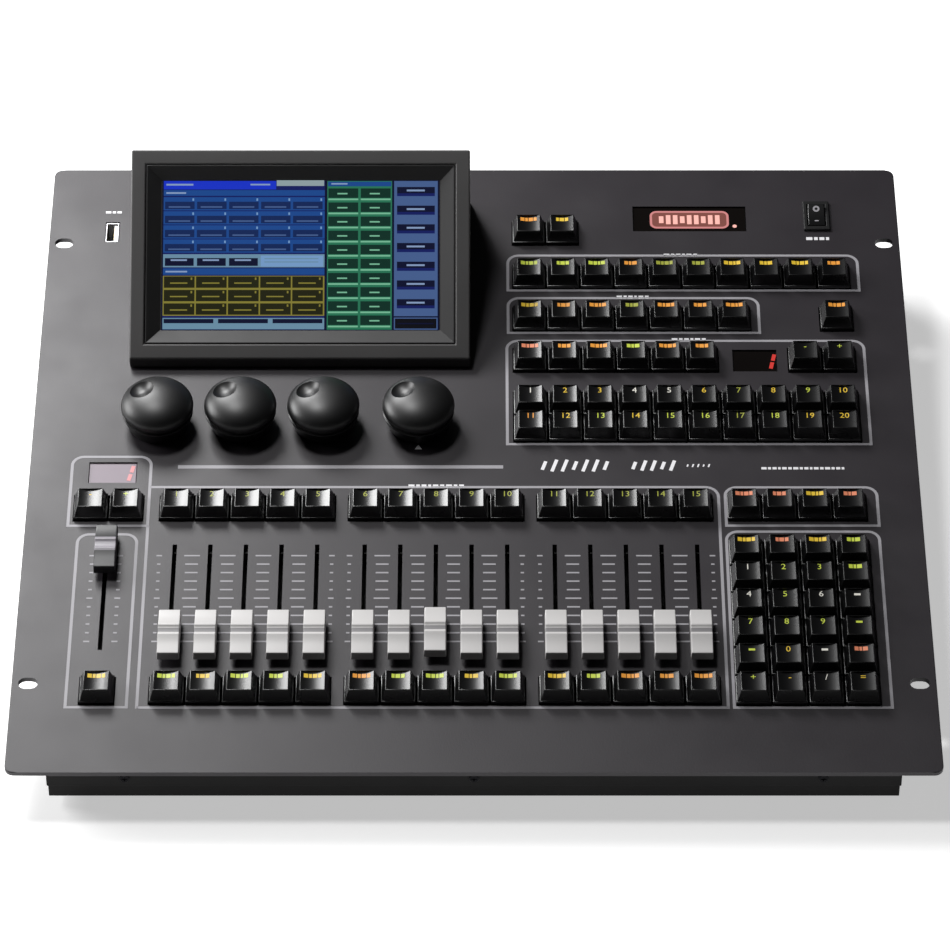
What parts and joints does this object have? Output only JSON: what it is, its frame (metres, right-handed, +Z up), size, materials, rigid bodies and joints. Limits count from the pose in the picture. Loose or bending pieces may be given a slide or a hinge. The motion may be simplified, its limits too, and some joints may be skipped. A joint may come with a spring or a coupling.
{
  "type": "lighting control desk",
  "caption": "Sloping rack-width lighting control desk with a leaning touch display, domed encoder wheels, rows of square keys, white playback faders, a master fader and rear output sockets.",
  "frame": {"origin": "under the middle of the bounding box, on the surface that the feet stand on", "axes": "+X to the operator's right, +Y away from the operator, +Z up; the face plate rises 7 degrees towards +Y"},
  "size_m": [0.4826, 0.4408, 0.1463],
  "materials": {
    "panel": "satin charcoal powder coat",
    "base": "satin black paint",
    "keycap": "semi-gloss moulded black",
    "fader_cap": "satin moulded white",
    "master_cap": "satin moulded grey",
    "wheel": "semi-gloss moulded black",
    "housing": "fine satin texture",
    "screen": "glossy glass over a lit panel",
    "window": "dark smoked lens",
    "board": "green laminate",
    "steel": "plain plated steel",
    "socket": "moulded black",
    "rubber": "matt"
  },
  "bodies": {
    "desk": {"face_plate": "panel", "base_tray": "base", "bottom_cover": "base", "display_housing": "housing", "touch_screen": "screen", "main_board": "board", "encoder_board": "board", "playback_board": "board", "upper_key_board": "board", "keypad_board": "board", "page_display": "window", "bank_display": "window", "badge_window": "window", "switch_body": "socket", "usb_socket": "steel", "power_supply": "steel", "power_inlet": "socket", "output_sockets": "socket", "foot_1": "rubber", "foot_2": "rubber", "foot_3": "rubber", "foot_4": "rubber"},
    "menu_keys": {"menu_keys": "keycap"},
    "fixture_keys": {"fixture_keys": "keycap"},
    "attribute_keys": {"attribute_keys": "keycap"},
    "side_key": {"side_key": "keycap"},
    "program_keys": {"program_keys": "keycap"},
    "bank_keys": {"bank_keys": "keycap"},
    "select_keys": {"select_keys": "keycap"},
    "page_keys": {"page_keys": "keycap"},
    "mode_keys": {"mode_keys": "keycap"},
    "number_keys": {"number_keys": "keycap"},
    "master_key": {"master_key": "keycap"},
    "playback_keys_1": {"playback_keys_1": "keycap"},
    "playback_keys_2": {"playback_keys_2": "keycap"},
    "playback_keys_3": {"playback_keys_3": "keycap"},
    "flash_keys_1": {"flash_keys_1": "keycap"},
    "flash_keys_2": {"flash_keys_2": "keycap"},
    "flash_keys_3": {"flash_keys_3": "keycap"},
    "fader_1": {"fader_1": "fader_cap"},
    "fader_2": {"fader_2": "fader_cap"},
    "fader_3": {"fader_3": "fader_cap"},
    "fader_4": {"fader_4": "fader_cap"},
    "fader_5": {"fader_5": "fader_cap"},
    "fader_6": {"fader_6": "fader_cap"},
    "fader_7": {"fader_7": "fader_cap"},
    "fader_8": {"fader_8": "fader_cap"},
    "fader_9": {"fader_9": "fader_cap"},
    "fader_10": {"fader_10": "fader_cap"},
    "fader_11": {"fader_11": "fader_cap"},
    "fader_12": {"fader_12": "fader_cap"},
    "fader_13": {"fader_13": "fader_cap"},
    "fader_14": {"fader_14": "fader_cap"},
    "fader_15": {"fader_15": "fader_cap"},
    "master_fader": {"master_fader": "master_cap"},
    "encoder_wheel_1": {"encoder_wheel_1": "wheel"},
    "encoder_wheel_2": {"encoder_wheel_2": "wheel"},
    "encoder_wheel_3": {"encoder_wheel_3": "wheel"},
    "encoder_wheel_4": {"encoder_wheel_4": "wheel"},
    "power_rocker": {"power_rocker": "keycap"}
  },
  "joints": [
    {"name": "power_rocker_tilt", "type": "hinge", "parent": "desk", "child": "power_rocker", "pos_m": [0.1951, 0.18192, 0.07619], "axis": [1, 0, 0], "range_deg": [-18, 0]},
    {"name": "encoder_wheel_1_turn", "type": "hinge", "parent": "desk", "child": "encoder_wheel_1", "pos_m": [-0.1729, 0.02279, 0.05766], "axis": [0, -0.1219, 0.9925], "continuous": true},
    {"name": "encoder_wheel_2_turn", "type": "hinge", "parent": "desk", "child": "encoder_wheel_2", "pos_m": [-0.1276, 0.02279, 0.05766], "axis": [0, -0.1219, 0.9925], "continuous": true},
    {"name": "encoder_wheel_3_turn", "type": "hinge", "parent": "desk", "child": "encoder_wheel_3", "pos_m": [-0.0823, 0.02279, 0.05766], "axis": [0, -0.1219, 0.9925], "continuous": true},
    {"name": "encoder_wheel_4_turn", "type": "hinge", "parent": "desk", "child": "encoder_wheel_4", "pos_m": [-0.0304, 0.02279, 0.05766], "axis": [0, -0.1219, 0.9925], "continuous": true},
    {"name": "master_fader_slide", "type": "slide", "parent": "desk", "child": "master_fader", "axis": [0, 0.9925, 0.1219], "range_m": [-0.06, 0]},
    {"name": "fader_1_slide", "type": "slide", "parent": "desk", "child": "fader_1", "axis": [0, 0.9925, 0.1219], "range_m": [0, 0.06]},
    {"name": "fader_2_slide", "type": "slide", "parent": "desk", "child": "fader_2", "axis": [0, 0.9925, 0.1219], "range_m": [0, 0.06]},
    {"name": "fader_3_slide", "type": "slide", "parent": "desk", "child": "fader_3", "axis": [0, 0.9925, 0.1219], "range_m": [0, 0.06]},
    {"name": "fader_4_slide", "type": "slide", "parent": "desk", "child": "fader_4", "axis": [0, 0.9925, 0.1219], "range_m": [0, 0.06]},
    {"name": "fader_5_slide", "type": "slide", "parent": "desk", "child": "fader_5", "axis": [0, 0.9925, 0.1219], "range_m": [0, 0.06]},
    {"name": "fader_6_slide", "type": "slide", "parent": "desk", "child": "fader_6", "axis": [0, 0.9925, 0.1219], "range_m": [0, 0.06]},
    {"name": "fader_7_slide", "type": "slide", "parent": "desk", "child": "fader_7", "axis": [0, 0.9925, 0.1219], "range_m": [0, 0.06]},
    {"name": "fader_8_slide", "type": "slide", "parent": "desk", "child": "fader_8", "axis": [0, 0.9925, 0.1219], "range_m": [-0.0018, 0.0582]},
    {"name": "fader_9_slide", "type": "slide", "parent": "desk", "child": "fader_9", "axis": [0, 0.9925, 0.1219], "range_m": [0, 0.06]},
    {"name": "fader_10_slide", "type": "slide", "parent": "desk", "child": "fader_10", "axis": [0, 0.9925, 0.1219], "range_m": [0, 0.06]},
    {"name": "fader_11_slide", "type": "slide", "parent": "desk", "child": "fader_11", "axis": [0, 0.9925, 0.1219], "range_m": [0, 0.06]},
    {"name": "fader_12_slide", "type": "slide", "parent": "desk", "child": "fader_12", "axis": [0, 0.9925, 0.1219], "range_m": [0, 0.06]},
    {"name": "fader_13_slide", "type": "slide", "parent": "desk", "child": "fader_13", "axis": [0, 0.9925, 0.1219], "range_m": [0, 0.06]},
    {"name": "fader_14_slide", "type": "slide", "parent": "desk", "child": "fader_14", "axis": [0, 0.9925, 0.1219], "range_m": [0, 0.06]},
    {"name": "fader_15_slide", "type": "slide", "parent": "desk", "child": "fader_15", "axis": [0, 0.9925, 0.1219], "range_m": [0, 0.06]},
    {"name": "menu_keys_press", "type": "slide", "parent": "desk", "child": "menu_keys", "axis": [0, 0.1219, -0.9925], "range_m": [0, 0.0035], "stiffness_N_per_m": 220, "springref_m": -0.002},
    {"name": "fixture_keys_press", "type": "slide", "parent": "desk", "child": "fixture_keys", "axis": [0, 0.1219, -0.9925], "range_m": [0, 0.0035], "stiffness_N_per_m": 1100, "springref_m": -0.002},
    {"name": "attribute_keys_press", "type": "slide", "parent": "desk", "child": "attribute_keys", "axis": [0, 0.1219, -0.9925], "range_m": [0, 0.0035], "stiffness_N_per_m": 770, "springref_m": -0.002},
    {"name": "side_key_press", "type": "slide", "parent": "desk", "child": "side_key", "axis": [0, 0.1219, -0.9925], "range_m": [0, 0.0035], "stiffness_N_per_m": 110, "springref_m": -0.002},
    {"name": "program_keys_press", "type": "slide", "parent": "desk", "child": "program_keys", "axis": [0, 0.1219, -0.9925], "range_m": [0, 0.0035], "stiffness_N_per_m": 660, "springref_m": -0.002},
    {"name": "bank_keys_press", "type": "slide", "parent": "desk", "child": "bank_keys", "axis": [0, 0.1219, -0.9925], "range_m": [0, 0.0035], "stiffness_N_per_m": 220, "springref_m": -0.002},
    {"name": "select_keys_press", "type": "slide", "parent": "desk", "child": "select_keys", "axis": [0, 0.1219, -0.9925], "range_m": [0, 0.0035], "stiffness_N_per_m": 2200, "springref_m": -0.002},
    {"name": "page_keys_press", "type": "slide", "parent": "desk", "child": "page_keys", "axis": [0, 0.1219, -0.9925], "range_m": [0, 0.0035], "stiffness_N_per_m": 220, "springref_m": -0.002},
    {"name": "mode_keys_press", "type": "slide", "parent": "desk", "child": "mode_keys", "axis": [0, 0.1219, -0.9925], "range_m": [0, 0.0035], "stiffness_N_per_m": 440, "springref_m": -0.002},
    {"name": "number_keys_press", "type": "slide", "parent": "desk", "child": "number_keys", "axis": [0, 0.1219, -0.9925], "range_m": [0, 0.0035], "stiffness_N_per_m": 2640, "springref_m": -0.002},
    {"name": "master_key_press", "type": "slide", "parent": "desk", "child": "master_key", "axis": [0, 0.1219, -0.9925], "range_m": [0, 0.0035], "stiffness_N_per_m": 110, "springref_m": -0.002},
    {"name": "playback_keys_1_press", "type": "slide", "parent": "desk", "child": "playback_keys_1", "axis": [0, 0.1219, -0.9925], "range_m": [0, 0.0035], "stiffness_N_per_m": 550, "springref_m": -0.002},
    {"name": "playback_keys_2_press", "type": "slide", "parent": "desk", "child": "playback_keys_2", "axis": [0, 0.1219, -0.9925], "range_m": [0, 0.0035], "stiffness_N_per_m": 550, "springref_m": -0.002},
    {"name": "playback_keys_3_press", "type": "slide", "parent": "desk", "child": "playback_keys_3", "axis": [0, 0.1219, -0.9925], "range_m": [0, 0.0035], "stiffness_N_per_m": 550, "springref_m": -0.002},
    {"name": "flash_keys_1_press", "type": "slide", "parent": "desk", "child": "flash_keys_1", "axis": [0, 0.1219, -0.9925], "range_m": [0, 0.0035], "stiffness_N_per_m": 550, "springref_m": -0.002},
    {"name": "flash_keys_2_press", "type": "slide", "parent": "desk", "child": "flash_keys_2", "axis": [0, 0.1219, -0.9925], "range_m": [0, 0.0035], "stiffness_N_per_m": 550, "springref_m": -0.002},
    {"name": "flash_keys_3_press", "type": "slide", "parent": "desk", "child": "flash_keys_3", "axis": [0, 0.1219, -0.9925], "range_m": [0, 0.0035], "stiffness_N_per_m": 550, "springref_m": -0.002}
  ]
}
